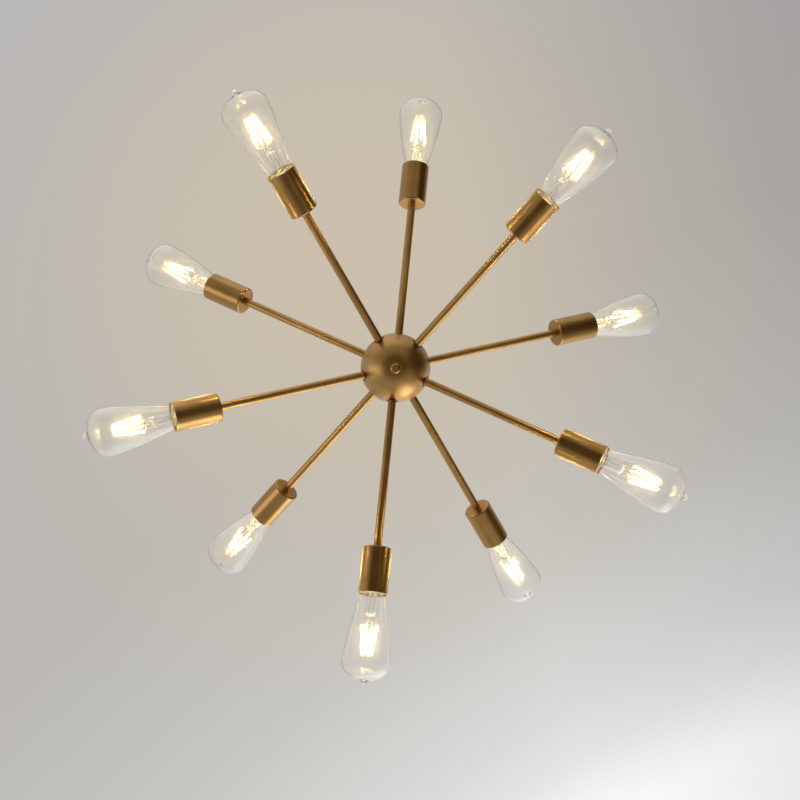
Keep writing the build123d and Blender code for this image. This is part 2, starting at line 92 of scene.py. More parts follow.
class Finish:
    """The node tree of a material, of a lamp or of the world."""

    def __init__(self, owner):
        self.owner = owner
        owner.use_nodes = True
        self.tree = owner.node_tree
        self.tree.nodes.clear()

    def node(self, kind, sockets, output=0, stops=(), **settings):
        """Add a node, set or link its sockets, and give one of its outputs."""
        node = self.tree.nodes.new("ShaderNode" + kind)
        for setting, value in settings.items():
            setattr(node, setting, value)
        for _ in stops[2:]:
            node.color_ramp.elements.new(1)
        for (position, tone), element in zip(stops, node.color_ramp.elements if stops else ()):
            element.position = position
            element.color = (*tone, 1)
        for key, value in sockets.items():
            if isinstance(value, Signal):
                self.tree.links.new(value.socket, node.inputs[key])
            else:
                node.inputs[key].default_value = value
        return Signal(self, node.outputs[output]) if len(node.outputs) else None

    def place(self):
        """Where a point lies, in metres from the origin of its object."""
        return self.node("TexCoord", {}, output="Object")

    def stretched(self, vector, across, along):
        """Coordinates for a pattern with so many features a metre across and along Z."""
        return self.node("Mapping", {"Vector": vector, "Scale": (across, across, along)})

    def noise(self, vector, scale, detail=3.0):
        """Soft clouds, so many a metre."""
        return self.node(
            "TexNoise", {"Vector": vector, "Scale": scale, "Detail": detail, "Roughness": 0.5}
        )

    def cells(self, vector, scale):
        """Distance to the nearest of scattered points, so many a metre."""
        return self.node("TexVoronoi", {"Vector": vector, "Scale": scale}, output="Distance")

    def length(self, vector):
        return self.node("VectorMath", {0: vector}, output="Value", operation="LENGTH")

    def span(self, value, start, end, low=0.0, high=1.0, **settings):
        """A value mapped from start and end to low and high, and held there beyond them."""
        ends = {"From Min": start, "From Max": end, "To Min": low, "To Max": high}
        return self.node("MapRange", {"Value": value, **ends}, **settings)

    def ramp(self, factor, *stops):
        """A colour, or a grey level, looked up along a factor."""
        return self.node("ValToRGB", {"Fac": factor}, stops=stops)

    def mixed(self, factor, tone, other):
        """One colour laid over another by a factor."""
        over = (*other, 1) if isinstance(other, tuple) else other
        sockets = {"Factor": factor, "A": tone, "B": over}
        return self.node("Mix", sockets, output="Result", data_type="RGBA")

    def relief(self, height, strength, distance):
        return self.node("Bump", {"Height": height, "Strength": strength, "Distance": distance})

    def surface(self, shader):
        """Close the tree on a shader, and give the material."""
        self.node("OutputMaterial", {"Surface": shader})
        return self.owner

    def principled(self, sockets):
        """Close the tree on one principled shader, and give the material."""
        return self.surface(self.node("BsdfPrincipled", sockets))


def dress(material, *nodes):
    """Give construction nodes a material in all their slots."""
    for name in nodes:
        for slot in frame["nodes"][name].material_slots:
            slot.material = material


def zinc_plated_steel():
    """Zinc plate with faint yellow and blue clouds, a fine spangle and dull scuffs."""
    finish = Finish(bpy.data.materials.new("zinc_plated_steel"))
    place = finish.place()
    clouds = finish.noise(place, scale=90.0)
    spangle = finish.cells(place, scale=900.0)
    scuffs = finish.noise(place, scale=400.0)
    bluish, neutral, yellowish = (0.47, 0.50, 0.53), (0.56, 0.56, 0.54), (0.58, 0.55, 0.45)
    return finish.principled(
        {
            "Base Color": finish.ramp(clouds, (0.3, bluish), (0.5, neutral), (0.7, yellowish)),
            "Metallic": 1.0,
            "Roughness": 0.3 + spangle * 0.2 + scuffs * 0.15,
            "Normal": finish.relief(spangle, strength=0.15, distance=0.0002),
        }
    )


dress(
    zinc_plated_steel(),
    "ceiling_bracket", "canopy_studs", "swivel_lock_nut", "swivel_pin", "arm_lock_nuts",
)

# ---------------------------------------------- canopy, swivel, stem and ball
# Brass, brushed with a fine abrasive and lacquered to an antique tone. The canopy and the ball's
# halves are spun and the small parts are turned, so the lines run round the stem, while the two
# rods are drawn tube and are brushed along their length.

up = Vector((0, 0, 1))
ball_centre = Vector((0, 0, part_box("ball_upper_half")[0].z))
ball_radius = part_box("ball_lower_half")[1].x
spun_roughness = 0.16
ball_roughness = 0.25            # the ball is brushed with a coarser pad
polished_roughness = 0.08
drawn_roughness = 0.22
brush_pitch = (14.0, 4200.0)     # brush marks a metre, along a mark and across it
draw_pitch = (14.0, 2400.0)
painted_rim_highlight_width = 0.0010              # of the painted highlight along a cup's rim
# Painted shade in the arms' seats: its span of depths, and how fast it fades in.
painted_seat_shade_depths = (0.0011, 0.0001)  # below the ball's surface, in the seats of the arms
painted_seat_shade_fade = 0.0002


def satin_brass(name, axis, roughness, drawn=False, rim=None, recess=None, depth=1.0):
    """Antique satin brass, brushed round an axis, or along it where it is drawn tube.

    The rim is a distance along the axis from the ball's centre, where a painted highlight
    brightens the edge. The recess is a span of distances from that centre, darkened with painted
    shade.
    Depth scales the tone.
    """
    finish = Finish(bpy.data.materials.new(name))
    turn = up.rotation_difference(axis).to_euler()
    place = finish.node(
        "Mapping",
        {"Vector": finish.place(), "Location": ball_centre, "Rotation": turn},
        vector_type="TEXTURE",
    )
    if drawn:
        marks = finish.stretched(place, across=draw_pitch[1], along=draw_pitch[0])
    else:
        marks = finish.stretched(place, across=brush_pitch[0], along=brush_pitch[1])
    lines = finish.noise(marks, scale=1.0, detail=2.0)
    lacquer = finish.noise(place, scale=24.0)
    tones = ((0.50, 0.281, 0.082), (0.57, 0.328, 0.106), (0.63, 0.384, 0.140))
    dark, middle, light = [tuple(level * depth for level in tone) for tone in tones]
    tone = finish.ramp(lacquer * 0.8 + lines * 0.2, (0.36, dark), (0.5, middle), (0.64, light))
    roughness = roughness + lines * 0.06 + lacquer * 0.08
    # Painted highlight: a thin bright band along the cup's rim, which is also made smoother.
    if rim:
        height = finish.node("SeparateXYZ", {"Vector": place}, output="Z")
        painted_rim_highlight = finish.span(abs(height - rim), 0.0, painted_rim_highlight_width, low=1.0, high=0.0)
        tone = finish.mixed(painted_rim_highlight, tone, (0.86, 0.62, 0.30))
        roughness = roughness - painted_rim_highlight * 0.1
    # Painted shade: between these distances the arms' seats are darkened and dulled, in place of
    # the shadow in their recesses.
    if recess:
        distance = finish.length(place)
        above = finish.span(distance, recess[0], recess[0] + painted_seat_shade_fade)
        below = finish.span(distance, recess[1], recess[1] - painted_seat_shade_fade)
        painted_seat_shade = above * below
        tone = finish.mixed(painted_seat_shade, tone, (0.05, 0.026, 0.010))
        roughness = roughness + painted_seat_shade * 0.35
    return finish.principled(
        {
            "Base Color": tone,
            "Metallic": 1.0,
            "Roughness": roughness,
            "Normal": finish.relief(lines, strength=0.2, distance=0.00001),
            "Coat Weight": 0.1,
            "Coat Roughness": 0.3,
        }
    )


dress(
    satin_brass("spun_brass", up, spun_roughness),
    "canopy", "swivel_yoke", "swivel_knuckle", "rod_coupling", "ball_stud",
)
# Span of the painted shade in the arms' seats
painted_seat_shade_span = [ball_radius - depth for depth in painted_seat_shade_depths]
dress(
    satin_brass("ball_brass", up, ball_roughness, recess=painted_seat_shade_span),
    "ball_upper_half", "ball_lower_half",
)
dress(
    satin_brass("polished_nut_brass", up, polished_roughness),
    "canopy_cap_nuts", "bottom_cap_nut",
)
dress(
    satin_brass("drawn_brass_stem", up, drawn_roughness, drawn=True),
    "upper_rod", "lower_rod",
)

# ---------------------------------------------- arms and lamp cups
# Each arm is a straight drawn tube, screwed into the ball and locked inside it. Its cup is a deep
# drawn shell that was turned and brushed on a mandrel, with a rounded back and a bare rim that
# carries a painted highlight.

cup_tone_depth = 0.88            # the cups' brass tone is set a little darker than the ball's

arms = [
    {
        "tier": joint["child"].split("_")[0],
        "number": joint["child"].split("_")[-1],
        "body": joint["child"],
        "direction": Vector(joint["axis"]).normalized(),
    }
    for joint in frame["joints"]
    if joint["type"] == "slide"
]


def node_on(arm, piece):
    """Name of the construction node of a piece on an arm."""
    return f"{arm['tier']}_{piece}_{arm['number']}"


def reach(node, direction):
    """Nearest and furthest distance of a node from the ball's centre, along an arm."""
    along = [(v.co - ball_centre).dot(direction) for v in frame["nodes"][node].data.vertices]
    return min(along), max(along)


for arm in arms:
    tube, cup = node_on(arm, "arm_tube"), node_on(arm, "socket_cup")
    along = arm["direction"]
    label = f"{arm['tier']}_{arm['number']}"
    dress(satin_brass(f"drawn_brass_{label}", along, drawn_roughness, drawn=True), tube)
    _, cup_mouth = reach(cup, along)
    dress(
        satin_brass(
            f"turned_brass_{label}", along, spun_roughness, rim=cup_mouth, depth=cup_tone_depth
        ),
        cup,
    )

# ---------------------------------------------- lampholders, liners and leads
# The lampholders are pressed and glazed steatite, cream white and a little uneven in the glaze.
# Their liners are nickel-plated brass. The leads wear a heat-proof sleeve and end in two crimped
# connectors of cloudy plastic inside the ball.


def glazed_porcelain():
    """Cream steatite under an uneven glaze with a few iron specks."""
    finish = Finish(bpy.data.materials.new("glazed_porcelain"))
    place = finish.place()
    glaze = finish.noise(place, scale=160.0)
    iron = finish.noise(place, scale=1900.0)
    specks = finish.ramp(iron, (0.69, (0, 0, 0)), (0.74, (1, 1, 1)))
    cream = finish.ramp(glaze, (0.35, (0.70, 0.60, 0.40)), (0.65, (0.80, 0.72, 0.52)))
    return finish.principled(
        {
            "Base Color": finish.mixed(specks, cream, (0.40, 0.30, 0.18)),
            "Roughness": 0.16 + glaze * 0.2,
            "Normal": finish.relief(glaze, strength=0.2, distance=0.0003),
            "Coat Weight": 0.4,
            "Coat Roughness": 0.1,
        }
    )


def nickel_plate():
    """Thin bright nickel, dulled in clouds."""
    finish = Finish(bpy.data.materials.new("nickel_plate"))
    clouds = finish.noise(finish.place(), scale=240.0)
    return finish.principled(
        {
            "Base Color": finish.ramp(
                clouds, (0.35, (0.68, 0.65, 0.58)), (0.65, (0.80, 0.78, 0.73))
            ),
            "Metallic": 1.0,
            "Roughness": 0.2 + clouds * 0.2,
            "Normal": finish.relief(clouds, strength=0.1, distance=0.0002),
        }
    )


def soft_plastic(name, light, dark, scale):
    """A matt moulding or sleeve, with so many cells of weave or texture a metre."""
    finish = Finish(bpy.data.materials.new(name))
    cells = finish.cells(finish.place(), scale)
    return finish.principled(
        {
            "Base Color": finish.ramp(cells, (0.1, light), (0.7, dark)),
            "Roughness": 0.45 + cells * 0.3,
            "Normal": finish.relief(cells, strength=0.4, distance=0.0002),
        }
    )


nickel = nickel_plate()
dress(glazed_porcelain(), "lampholders")
dress(nickel, "lampholder_liners")
dress(
    soft_plastic("lead_sleeve", (0.74, 0.70, 0.60), (0.52, 0.48, 0.40), scale=1500.0),
    "lead_wires",
)
dress(
    soft_plastic("connector_plastic", (0.70, 0.68, 0.60), (0.62, 0.59, 0.50), scale=500.0),
    "wire_connectors",
)

# ---------------------------------------------- bulb glass
# A clear blown teardrop with a drawn-off tip. Its neck is sealed to a glass stem, a tube that is
# pinched flat round the two lead-in wires and carries a solid post. Clear soda glass, slightly
# wavy from blowing.

mm = 0.001
glass_wall = 0.45 * mm
glass_length = 119.80 * mm       # rim of the screw cap to the end of the tip
foot_depth = 4.0 * mm            # how far the glass reaches down into the cap
foot_radius = 11.7 * mm
foot_bend = 0.5 * mm             # height at which the foot starts to widen
foot_pull = 1.0 * mm             # a pull is the length of a curve's handle
neck_radius = 14.4 * mm
neck_height = 2.0 * mm
neck_slope = 0.42                # how fast the cone widens above the cap
neck_root_pull = 0.7 * mm
neck_pull = 12.7 * mm
belly_pull = 20.7 * mm
belly_radius = 32.0 * mm
belly_height = 92.0 * mm
dome_height = 22.0 * mm
tip_root_radius = 7.0 * mm       # where the dome turns up into the tip
tip_root_pull = Vector((-2.6, 0.8)) * mm
tip_waist_pull = 1.8 * mm
tip_waist_drop = 0.3 * mm        # from the middle of the rounded end down to the waist
tip_end_radius = 4.0 * mm
stem_radius = 7.2 * mm
stem_height = 31.0 * mm
flare_height = 9.0 * mm          # above it the stem is a plain tube
flare_pull = 6.0 * mm
flare_inset = 2.0 * mm
press_foot = 18.0 * mm           # the stem is squeezed from here up, fully at press_shoulder
press_middle = 24.0 * mm
press_shoulder = stem_height + 4.0 * mm
press_top = 37.0 * mm
press_pull = 3.0 * mm
press_radius = 5.6 * mm
press_thickness = 0.42           # of the pinched part, as a share of its width
post_radius = 1.7 * mm
post_top = 41.0 * mm


def curve(start, start_handle, end_handle, end, steps):
    """Points of (radius, height) on a cubic, without its last point."""
    corners = [Vector((*p, 0)) for p in (start, start_handle, end_handle, end)]
    return [tuple(p.xy) for p in interpolate_bezier(*corners, steps)][:-1]


def envelope(inset):
    """The blown outline from foot to belly, moved inwards by an inset, as (radius, height)."""
    foot = Vector((foot_radius - inset, foot_bend))
    neck = Vector((neck_radius - inset, neck_height))
    belly = Vector((belly_radius - inset, belly_height))
    rise = Vector((neck_slope, 1))
    flare = curve(foot, foot + Vector((foot_pull, 0)), neck - rise * neck_root_pull, neck, 6)
    flank = curve(neck, neck + rise * neck_pull, belly - Vector((0, belly_pull)), belly, 32)
    return flare + flank


def dome(inset, last_radius, steps):
    """The flattened dome from the belly towards the axis, as (radius, height)."""
    radius = belly_radius - inset
    rise = dome_height - inset
    last = asin(last_radius / radius)
    turns = [pi / 2 - (pi / 2 - last) * k / steps for k in range(steps + 1)]
    return [(radius * sin(t), belly_height + rise * cos(t)) for t in turns]


def drawn_off_tip(root):
    """The tip where the bulb was sealed, from its root on the dome, as (radius, height)."""
    middle = glass_length - tip_end_radius
    waist = Vector((tip_end_radius, middle - tip_waist_drop))
    turns = [k * pi / 12 for k in range(6)]
    rounded = [(tip_end_radius * cos(t), middle + tip_end_radius * sin(t)) for t in turns]
    swept = curve(root, root + tip_root_pull, waist - Vector((0, tip_waist_pull)), waist, 8)
    return swept + rounded + [(0, glass_length)]


def stem_outline():
    """The stem's outside, from the foot up to the post, as (radius, height)."""
    flare = curve(
        (foot_radius - glass_wall, 0), (foot_radius - flare_inset, 0),
        (stem_radius, flare_height - flare_pull), (stem_radius, flare_height), 8,
    )
    tube = [(stem_radius, height) for height in (flare_height, press_foot, press_middle)]
    press = curve(
        (stem_radius, stem_height), (stem_radius, press_shoulder),
        (press_radius, press_top - press_pull), (press_radius, press_top), 8,
    )
    post = [
        (press_radius, press_top), (press_radius * 0.8, press_top + 0.3 * mm),
        (post_radius, press_top + 0.8 * mm), (post_radius, post_top - 0.5 * mm),
        (post_radius * 0.6, post_top), (0, post_top),
    ]
    return flare + tube + press + post


def stem_bore():
    """The stem's open inside, from its closed top down to the foot, as (radius, height)."""
    bore = stem_radius - glass_wall
    foot = -foot_depth
    return [
        (0, stem_height + 1.0 * mm), (bore * 0.6, stem_height), (bore, stem_height - 2.0 * mm),
        (bore, press_middle), (bore, press_foot), (bore, 8.0 * mm), (bore + 1.0 * mm, 2.0 * mm),
        (foot_radius - glass_wall, foot), (foot_radius, foot),
    ]


def glass_outline():
    """Closed outline of the glass: up the outside, down the inside, over the stem and out."""
    outside = envelope(0) + dome(0, tip_root_radius, 18)
    root = Vector(outside.pop())
    inside = envelope(glass_wall) + dome(glass_wall, 0, 22)
    return outside + drawn_off_tip(root) + inside[::-1] + stem_outline() + stem_bore()


def turned(name, outline, sides=72):
    """Mesh of a closed outline of (radius, height), turned round Z. Outlines run clockwise."""
    points, faces, rings = [], [], []
    for radius, height in outline:
        if radius < 1e-9:
            rings.append([len(points)] * sides)
            points.append((0, 0, height))
            continue
        rings.append(list(range(len(points), len(points) + sides)))
        for k in range(sides):
            turn = tau * k / sides
            points.append((radius * cos(turn), radius * sin(turn), height))
    for low, high in zip(rings, rings[1:] + rings[:1]):
        for k in range(sides):
            corners = dict.fromkeys((low[k - 1], low[k], high[k], high[k - 1]))
            if len(corners) > 2:
                faces.append(list(corners))
    mesh = bpy.data.meshes.new(name)
    mesh.from_pydata(points, [], faces)
    mesh.shade_smooth()
    return mesh


def pinched(mesh):
    """Squeeze the top of the stem flat round the lead-in wires."""
    for vertex in mesh.vertices:
        at = vertex.co
        on_stem = at.xy.length < stem_radius * 1.01
        if on_stem and press_foot < at.z < press_top + 0.1 * mm:
            squeeze = min((at.z - press_foot) / (press_shoulder - press_foot), 1)
            squeeze = squeeze * squeeze * (3 - 2 * squeeze)
            at.y *= 1 - squeeze * (1 - press_thickness)
    return mesh


def clear_glass():
    """Blown soda glass. Lamps shine through it as through a clear sheet."""
    finish = Finish(bpy.data.materials.new("clear_glass"))
    waves = finish.noise(finish.place(), scale=22.0, detail=1.0)
    glass = finish.node(
        "BsdfPrincipled",
        {
            "Base Color": (1, 1, 1, 1),
            "Roughness": 0.12,
            "IOR": 1.42,
            "Transmission Weight": 1.0,
            "Normal": finish.relief(waves, strength=0.25, distance=0.001),
        },
    )
    lamp_ray = finish.node("LightPath", {}, output="Is Shadow Ray")
    open_glass = finish.node("BsdfTransparent", {"Color": (0.96, 0.97, 0.96, 1)})
    return finish.surface(finish.node("MixShader", {0: lamp_ray, 1: glass, 2: open_glass}))


def placed(name, data):
    """A new object in the scene, with this mesh, camera or lamp."""
    thing = bpy.data.objects.new(name, data)
    bpy.context.scene.collection.objects.link(thing)
    return thing


def on_arm(name, mesh, arm):
    """A copy of a mesh drawn up from the cap's rim, moved to an arm and riding on its bulb."""
    along = arm["direction"]
    side = up.cross(along).normalized()
    turn = Matrix((side, along.cross(side), along)).transposed().to_4x4()
    copy = mesh.copy()
    copy.transform(Matrix.Translation(ball_centre + along * arm["cap_rim"]) @ turn)
    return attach(placed(f"{arm['body']}_{name}", copy), arm["body"])


glass_mesh = pinched(turned("bulb_glass", glass_outline()))
glass_mesh.materials.append(clear_glass())
for arm in arms:
    node = node_on(arm, "bulb_glass")
    arm["cap_rim"] = reach(node, arm["direction"])[0] + foot_depth
    glass = on_arm("glass", glass_mesh, arm)
    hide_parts(node)

# ---------------------------------------------- screw caps and glowing sticks
# The screw cap is a rolled shell of nickel-plated brass, closed by black vitrite round a soft
# solder contact. Inside the glass four glass sticks, coated in yellow phosphor, stand between
# two stars of nickel wire and glow warm white.

cap_radius = 13.0 * mm
cap_wall = 0.45 * mm
cap_length = 25.0 * mm
cap_rim_bevel = 0.2 * mm
cap_shoulder = 0.8 * mm          # height of the cone between thread and rim
thread_depth = 0.65 * mm
thread_bead = 0.6 * mm           # radius of the rolled bead
thread_pitch = 3.6 * mm
thread_turns = 5
thread_top = -2.0 * mm
thread_foot = thread_top - thread_turns * thread_pitch
thread_valley = cap_radius - thread_depth
contact_radius = 4.5 * mm
contact_height = 1.5 * mm
contact_foot = contact_height - cap_length
contact_sink = 0.4 * mm          # how far the solder reaches into the vitrite
vitrite_ledge = 1.0 * mm         # round the contact
cement_top = -4.4 * mm
cement_depth = 3.0 * mm
cement_gap = 0.1 * mm            # beside the foot of the glass
stick_count = 4
stick_turn = 20.0                # degrees from level to the first stick
stick_foot = 41.9 * mm
stick_length = 40.0 * mm
stick_radius = 1.05 * mm
stick_tab = 1.4 * mm             # bare metal at each end of a stick
stick_foot_radius = 11.0 * mm
stick_head_radius = 6.5 * mm
wire_radius = 0.4 * mm
wire_rise = 4.0 * mm             # how far below the sticks their wires leave the post
lead_in_offset = 2.6 * mm


def cap_shell():
    """The rolled shell without its bead, open above and below, as (radius, height)."""
    inside = thread_valley - cap_wall
    return [
        (inside, thread_foot), (thread_valley, thread_foot), (thread_valley, thread_top),
        (cap_radius, thread_top + cap_shoulder), (cap_radius, -cap_rim_bevel),
        (cap_radius - cap_rim_bevel, 0), (inside, 0),
    ]


def vitrite_cone():
    """Black insulator between the shell and the contact, as (radius, height)."""
    return [
        (0, contact_foot + contact_sink), (contact_radius, contact_foot),
        (contact_radius + vitrite_ledge, contact_foot),
        (thread_valley - 0.3 * mm, thread_foot - 0.5 * mm),
        (thread_valley - 0.6 * mm, thread_foot), (0, thread_foot),
    ]


def solder_contact():
    """Domed contact at the foot of the cap, as (radius, height)."""
    turns = [k * pi / 16 for k in range(9)]
    domed = [(contact_radius * sin(t), contact_foot - contact_height * cos(t)) for t in turns]
    sunk = contact_foot + contact_sink
    return domed + [(contact_radius, sunk), (0, sunk)]


def cement_plug():
    """The cement below the foot of the glass, as (radius, height)."""
    rim = foot_radius - cement_gap
    foot = cement_top - cement_depth
    return [(0, foot), (rim, foot), (rim, cement_top), (0, cement_top)]


def black_vitrite():
    """Glossy black glass insulator with a few pale flow marks."""
    finish = Finish(bpy.data.materials.new("black_vitrite"))
    flow = finish.noise(finish.place(), scale=700.0)
    tone = finish.ramp(flow, (0.5, (0.012, 0.011, 0.012)), (0.8, (0.05, 0.045, 0.05)))
    return finish.principled({"Base Color": tone, "Roughness": 0.12 + flow * 0.15})


def basing_cement():
    """Dull beige cement that fills the cap round the foot of the glass."""
    finish = Finish(bpy.data.materials.new("basing_cement"))
    grain = finish.noise(finish.place(), scale=1200.0)
    tone = finish.ramp(grain, (0.3, (0.60, 0.52, 0.36)), (0.7, (0.72, 0.65, 0.48)))
    return finish.principled(
        {
            "Base Color": tone,
            "Roughness": 0.7 + grain * 0.2,
            "Normal": finish.relief(grain, strength=0.5, distance=0.0002),
        }
    )


def glowing_phosphor():
    """Yellow silicone phosphor over a lit glass stick: warm white, and yellower at its ends."""
    finish = Finish(bpy.data.materials.new("glowing_phosphor"))
    run = finish.node("Attribute", {}, output="Fac", attribute_name="run")
    end, middle = (1.0, 0.55, 0.08), (1.0, 0.80, 0.32)
    grain = finish.noise(finish.place(), scale=2500.0)
    tone = finish.ramp(grain, (0.3, (0.86, 0.60, 0.16)), (0.7, (0.93, 0.72, 0.28)))
    light = finish.ramp(run, (0.0, end), (0.07, middle), (0.93, middle), (1.0, end))
    return finish.principled(
        {
            "Base Color": tone,
            "Roughness": 0.4 + grain * 0.2,
            "Emission Color": light,
            "Emission Strength": 200.0,
        }
    )


class Shape(Finish):
    """A geometry node tree with named sizes, built the way a finish is."""

    def __init__(self, name, **sizes):
        self.sizes = sizes
        self.tree = bpy.data.node_groups.new(name, "GeometryNodeTree")
        self.tree.interface.new_socket(
            "Geometry", in_out="OUTPUT", socket_type="NodeSocketGeometry"
        )
        for label in sizes:
            self.tree.interface.new_socket(label, in_out="INPUT", socket_type="NodeSocketFloat")
        self.inputs = self.tree.nodes.new("NodeGroupInput")

    def node(self, kind, sockets, output=0, **settings):
        """Add a node, set or link its sockets, and give one of its outputs."""
        own = kind.startswith("GeometryNode")
        node = self.tree.nodes.new(kind if own else "ShaderNode" + kind)
        for setting, value in settings.items():
            setattr(node, setting, value)
        for key, value in sockets.items():
            for part in value if isinstance(value, list) else [value]:
                if isinstance(part, Signal):
                    self.tree.links.new(part.socket, node.inputs[key])
                else:
                    node.inputs[key].default_value = part
        return Signal(self, node.outputs[output])

    def size(self, label):
        """A named input of the tree."""
        return Signal(self, self.inputs.outputs[label])

    def point(self, x, y, z):
        return self.node("CombineXYZ", {"X": x, "Y": y, "Z": z})

    def rod(self, start, end, radius, material, sides=10):
        """A round rod between two points, with closed ends and its length stored as run."""
        line = self.node("GeometryNodeCurvePrimitiveLine", {"Start": start, "End": end})
        fine = self.node("GeometryNodeResampleCurve", {"Curve": line, "Count": 12})
        run = self.node("GeometryNodeSplineParameter", {}, output="Factor")
        marked = self.node(
            "GeometryNodeStoreNamedAttribute",
            {"Geometry": fine, "Name": "run", "Value": run},
            data_type="FLOAT",
        )
        return self.tube(marked, radius, material, sides)

    def tube(self, path, radius, material, sides):
        """A round tube along a curve."""
        section = self.node(
            "GeometryNodeCurvePrimitiveCircle", {"Resolution": sides, "Radius": radius}
        )
        tube = self.node(
            "GeometryNodeCurveToMesh",
            {"Curve": path, "Profile Curve": section, "Fill Caps": True},
        )
        return self.node("GeometryNodeSetMaterial", {"Geometry": tube, "Material": material})

    def joined(self, parts):
        return self.node("GeometryNodeJoinGeometry", {"Geometry": parts})

    def grown(self, geometry):
        """Close the tree on real geometry, and give the plain mesh that it makes."""
        real = self.node("GeometryNodeRealizeInstances", {"Geometry": geometry})
        output = self.tree.nodes.new("NodeGroupOutput")
        self.tree.links.new(real.socket, output.inputs["Geometry"])
        seed = placed(self.tree.name, bpy.data.meshes.new(self.tree.name))
        modifier = seed.modifiers.new("shape", "NODES")
        modifier.node_group = self.tree
        for item in self.tree.interface.items_tree:
            if item.in_out == "INPUT":
                modifier[item.identifier] = self.sizes[item.name]
        evaluated = seed.evaluated_get(bpy.context.evaluated_depsgraph_get())
        mesh = bpy.data.meshes.new_from_object(evaluated)
        bpy.data.objects.remove(seed)
        mesh.shade_smooth()
        return mesh


cage = Shape(
    "filament_cage",
    foot=stick_foot,
    length=stick_length,
    foot_radius=stick_foot_radius,
    head_radius=stick_head_radius,
    stick=stick_radius,
    wire=wire_radius,
    tab=stick_tab,
    rise=wire_rise,
    post=post_radius,
    count=stick_count,
    turn=radians(stick_turn),
)
foot, head = cage.size("foot"), cage.size("foot") + cage.size("length")
low, high = cage.size("foot_radius"), cage.size("head_radius")
lean = (low - high) * cage.size("tab") / cage.size("length")
wire = cage.size("wire")
stick_ends = [
    cage.point(low - lean, 0.0, foot + cage.size("tab")),
    cage.point(high + lean, 0.0, head - cage.size("tab")),
]
wire_runs = [
    (cage.point(low, 0.0, foot), cage.point(high, 0.0, head)),
    (cage.point(cage.size("post"), 0.0, foot - cage.size("rise")), cage.point(low, 0.0, foot)),
    (cage.point(0.0, 0.0, head), cage.point(high, 0.0, head)),
]
one_quarter = [cage.rod(*stick_ends, cage.size("stick"), glowing_phosphor())]
one_quarter += [cage.rod(start, end, wire, nickel, sides=6) for start, end in wire_runs]
index = cage.node("GeometryNodeInputIndex", {})
turn = index * tau / cage.size("count") + cage.size("turn")
ring = cage.node(
    "GeometryNodeInstanceOnPoints",
    {
        "Points": cage.node("GeometryNodePoints", {"Count": cage.size("count")}),
        "Instance": cage.joined(one_quarter),
        "Rotation": cage.point(0.0, 0.0, turn),
    },
)
cage_mesh = cage.grown(ring)

lead_in = Shape(
    "lead_in_wires", offset=lead_in_offset, foot=cement_top, head=press_top, wire=wire_radius
)
pair = [
    lead_in.rod(
        lead_in.point(side * lead_in.size("offset"), 0.0, lead_in.size("foot")),
        lead_in.point(side * lead_in.size("offset"), 0.0, lead_in.size("head")),
        lead_in.size("wire"),
        nickel,
        sides=6,
    )
    for side in (-1, 1)
]
lead_in_mesh = lead_in.grown(lead_in.joined(pair))

bead = Shape(
    "cap_thread",
    turns=thread_turns,
    radius=cap_radius - thread_bead,
    height=-thread_turns * thread_pitch,
    bead=thread_bead,
)
spiral = bead.node(
    "GeometryNodeCurveSpiral",
    {
        "Resolution": 40,
        "Rotations": bead.size("turns"),
        "Start Radius": bead.size("radius"),
        "End Radius": bead.size("radius"),
        "Height": bead.size("height"),
    },
)
thread_mesh = bead.grown(bead.tube(spiral, bead.size("bead"), nickel, sides=8))
thread_mesh.transform(Matrix.Translation((0, 0, thread_top)))


def merged(name, *parts):
    """One mesh made of several."""
    pieces = [placed(name, part) for part in parts]
    with bpy.context.temp_override(
        active_object=pieces[0], selected_editable_objects=pieces, selected_objects=pieces
    ):
        bpy.ops.object.join()
    mesh = pieces[0].data
    bpy.data.objects.remove(pieces[0])
    return mesh


def turned_in(material, name, outline, sides):
    """A turned mesh with its material."""
    mesh = turned(name, outline, sides)
    mesh.materials.append(material)
    return mesh


cap_mesh = merged(
    "screw_cap",
    turned_in(nickel, "cap_shell", cap_shell(), 64),
    thread_mesh,
    turned_in(black_vitrite(), "cap_insulator", vitrite_cone(), 48),
    turned_in(nickel, "cap_contact", solder_contact(), 32),
    turned_in(basing_cement(), "cap_cement", cement_plug(), 32),
)
stick_mesh = merged("filaments", cage_mesh, lead_in_mesh)
for arm in arms:
    cap = on_arm("screw_cap", cap_mesh, arm)
    sticks = on_arm("filaments", stick_mesh, arm)
    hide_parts(node_on(arm, "bulb_base"))

# ---------------------------------------------- room, lamps and camera
# The fixture hangs in a plain pale room over a pale floor. A broad window lights it from the left
# of the view and a brighter one from the lower right, and two dark flags, which only reflections
# see, stand below and to the right. The camera looks up from under the ball.

scene = bpy.context.scene
view_roll = radians(-5.82)       # the first lower arm points down the view, turned by this much
view_pitch = radians(2.046)
view_yaw = radians(0.394)
camera_place = Vector((-0.006, 0.020, 1.800))    # from the ball: right, up the view, and below
frame_width = 800
focal_pixels = 1295
sensor_width = 36
floor_height = -3.2
floor_radius = 30


def room_from_view(point):
    """A place relative to the ball, given as right, up and towards the viewer, in the room."""
    x, y, z = point
    across = cos(view_roll) * x + sin(view_roll) * y
    along = sin(view_roll) * x - cos(view_roll) * y
    return Vector((across, along, -z))


axes = Matrix.Rotation(view_yaw, 3, "Y") @ Matrix.Rotation(view_pitch, 3, "X")
view_turn = Matrix([room_from_view(axis) for axis in axes]).transposed().to_4x4()
lens = bpy.data.cameras.new("camera")
lens.sensor_width = sensor_width
lens.lens = sensor_width * focal_pixels / frame_width
lens.clip_end = 100
scene.camera = placed("camera", lens)
scene.camera.matrix_world = (
    Matrix.Translation(ball_centre + room_from_view(camera_place)) @ view_turn
)

